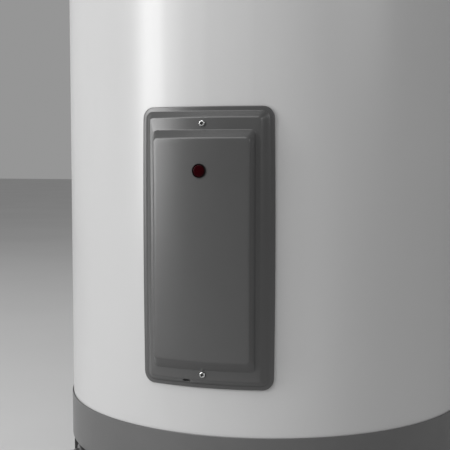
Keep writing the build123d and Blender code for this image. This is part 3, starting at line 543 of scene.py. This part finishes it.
for node in ("cold_inlet_nipple", "hot_outlet_nipple"):
    pipe_nipple(node)

# ---- Drain valve knob -------------------------------------------------------------------------


def drain_knob():
    """Knob and hose spigot in one moulding. Hollows run round the knob, whose radius is r less
    depth * ((1 + cos(count * angle)) / 2)^2, and the hose thread is cut on the spigot."""
    mount = mounts["drain_outlet"]
    axis = np.array(mount["axis"], float)
    tip = np.array(mount["pos_m"]) + axis * mount["dims"]["length_mm"] / 2 * mm
    thread_radius = mount["dims"]["r_mm"]
    knob_radius, length, knob_depth, collar_end = 20.9, 38.0, 13.0, 18.0
    collar_radius, socket_radius, socket_depth, bore = thread_radius + 1.6, 9.6, 25.5, 8.0
    flutes, flute_depth, pitch, thread_depth = 10, 1.9, 2.209, 1.2
    rows = np.linspace(collar_end + 0.6, length - 1.2, 84)
    outline = [(0.0, socket_radius), (0.0, knob_radius - 1.5), (0.0, knob_radius), (knob_depth, knob_radius),
               (knob_depth, collar_radius), (collar_end, collar_radius), (collar_end, thread_radius)]
    outer = softened(outline, (0, 0, 1.6, 1.6, 0.8, 0.6, 0))
    profile = list(outer) + [(row, thread_radius) for row in rows]
    profile += [(length, thread_radius - 1.1), (length, bore + 0.6), (length - 0.6, bore)]
    profile += [(socket_depth, bore), (socket_depth, socket_radius), (0.0, socket_radius)]

    def shape(along, r, angle):
        flute = flute_depth * ((1 + np.cos(flutes * angle)) / 2) ** 2
        cut = thread_depth * thread(along, angle, pitch, collar_end + 1.2, length + 1.0)
        r = np.where((along <= knob_depth) & (r > knob_radius - 2), r - flute, r)
        return np.where((along > collar_end) & (r > thread_radius - 0.01), r - cut, r)

    surface = lathe(profile, tip - axis * length * mm, axis, 160, shape)
    fit_piece(make_piece("drain_knob_and_spigot", [surface], 30), "drain_knob")


drain_knob()

# ---- Junction box cover -----------------------------------------------------------------------


def junction_cover():
    """Pressed cover plate: rounded rectangles from its edge inward, at heights that give a flat flange
    and a low raised field; the middle closes on a line."""
    node = "junction_cover"
    low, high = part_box(node)
    centre = middle(node)
    half_x, half_y = (high.x - low.x) / 2 / mm, (high.y - low.y) / 2 / mm
    top = (high.z - low.z) / mm
    turn = np.linspace(0, pi / 2, 7)

    def outline(inset, corner, height):
        """Rounded rectangle this far in from the cover's edge."""
        a, b = half_x - inset - corner, half_y - inset - corner
        quarter = np.stack([a + corner * np.cos(turn), b + corner * np.sin(turn)], -1)
        left = quarter[::-1] * (-1, 1)
        upper = np.concatenate([quarter, left])
        points = np.concatenate([upper, upper * (-1, -1)])
        return np.column_stack([points, np.full(len(points), height)])

    flange_top = top - 0.2
    keys = [outline(0.8, 4.5, 0.0), outline(0.0, 5.0, 0.0), outline(0.0, 5.0, flange_top - 0.2),
            outline(1.2, 4.2, flange_top), outline(9.0, 5.0, flange_top), outline(10.0, 4.2, top),
            outline(20, 2, top)]
    rings = softened(keys, (0, 0.2, 0.3, 0.4, 0.5, 0.5, 0))
    spine = rings[-1] * (1, 0, 1)
    rings = np.concatenate([rings, spine[None]])
    under = rings[-1] * (1, 1, 0)
    rings = np.concatenate([rings, under[None], keys[0][None]])
    points = rings * mm + (centre[0], centre[1], low.z)
    faces = sheet_faces(*rings.shape[:2])
    fit_piece(make_piece("junction_cover_plate", [(points, faces)], 40), node)


junction_cover()

# ---- Camera, floor and light ------------------------------------------------------------------
camera_data = bpy.data.cameras.new("camera")
camera_data.sensor_width = 36
camera_data.lens = 75.7
camera = bpy.data.objects.new("camera", camera_data)
camera.location = (0.3266, -1.2162, base_top + 0.3047)
camera.rotation_euler = (radians(85.774), 0, radians(17.602))
bpy.context.scene.collection.objects.link(camera)
bpy.context.scene.camera = camera

bpy.ops.mesh.primitive_plane_add(size=30)
floor = bpy.context.object
floor.name = "floor"
matt_paint = {"Roughness": 0.95, "Specular IOR Level": 0.1}
floor_paint, floor_tree, floor_shader = new_material("pale_floor", matt_paint)
tint(floor_tree, floor_shader, noise(floor_tree, 0.6, 3), "Fac", ("#cdcdcd", "#d1d1d1"), (0.3, 0.7))
floor.data.materials.append(floor_paint)


def area_light(name, bearing, distance, height, aim_height, size, power):
    """Rectangular soft light at a bearing from the front, in degrees, positive towards +X, turned
    towards the heater's axis."""
    data = bpy.data.lights.new(name, "AREA")
    data.shape = "RECTANGLE"
    data.size, data.size_y = size
    data.energy = power
    lamp = bpy.data.objects.new(name, data)
    angle = radians(bearing)
    lamp.location = (distance * sin(angle), -distance * cos(angle), height)
    lamp.rotation_euler = (atan2(distance, height - aim_height), 0, angle)
    bpy.context.scene.collection.objects.link(lamp)


# The tall strip gives the jacket its highlight; the two beside it let that fade to the right. The key
# light stands high on the left, so that each raised step throws a soft shadow to its right.
area_light("tall_strip", -50.5, 2.8, 1.25, 1.0, (0.32, 2.0), 32)
area_light("second_strip", -42.5, 2.8, 1.25, 1.0, (0.4, 2.0), 18)
area_light("third_strip", -34.5, 2.8, 1.25, 1.0, (0.4, 2.0), 6)
area_light("high_key", -40, 2.4, 3.0, 0.4, (1.1, 1.0), 12)
area_light("overhead", -15, 1.7, 3.0, 0.3, (2.4, 2.0), 31)
area_light("left_softbox", -105, 3.0, 1.2, 0.8, (3.0, 2.2), 4)
area_light("right_fill", 66, 3.2, 1.6, 0.6, (1.6, 1.6), 14)

world = bpy.data.worlds.new("studio")
world.use_nodes = True
background = world.node_tree.nodes["Background"]
background.inputs["Color"].default_value = linear("#f6f6f6")
background.inputs["Strength"].default_value = 0.33
bpy.context.scene.world = world
bpy.context.scene.view_settings.view_transform = "Standard"
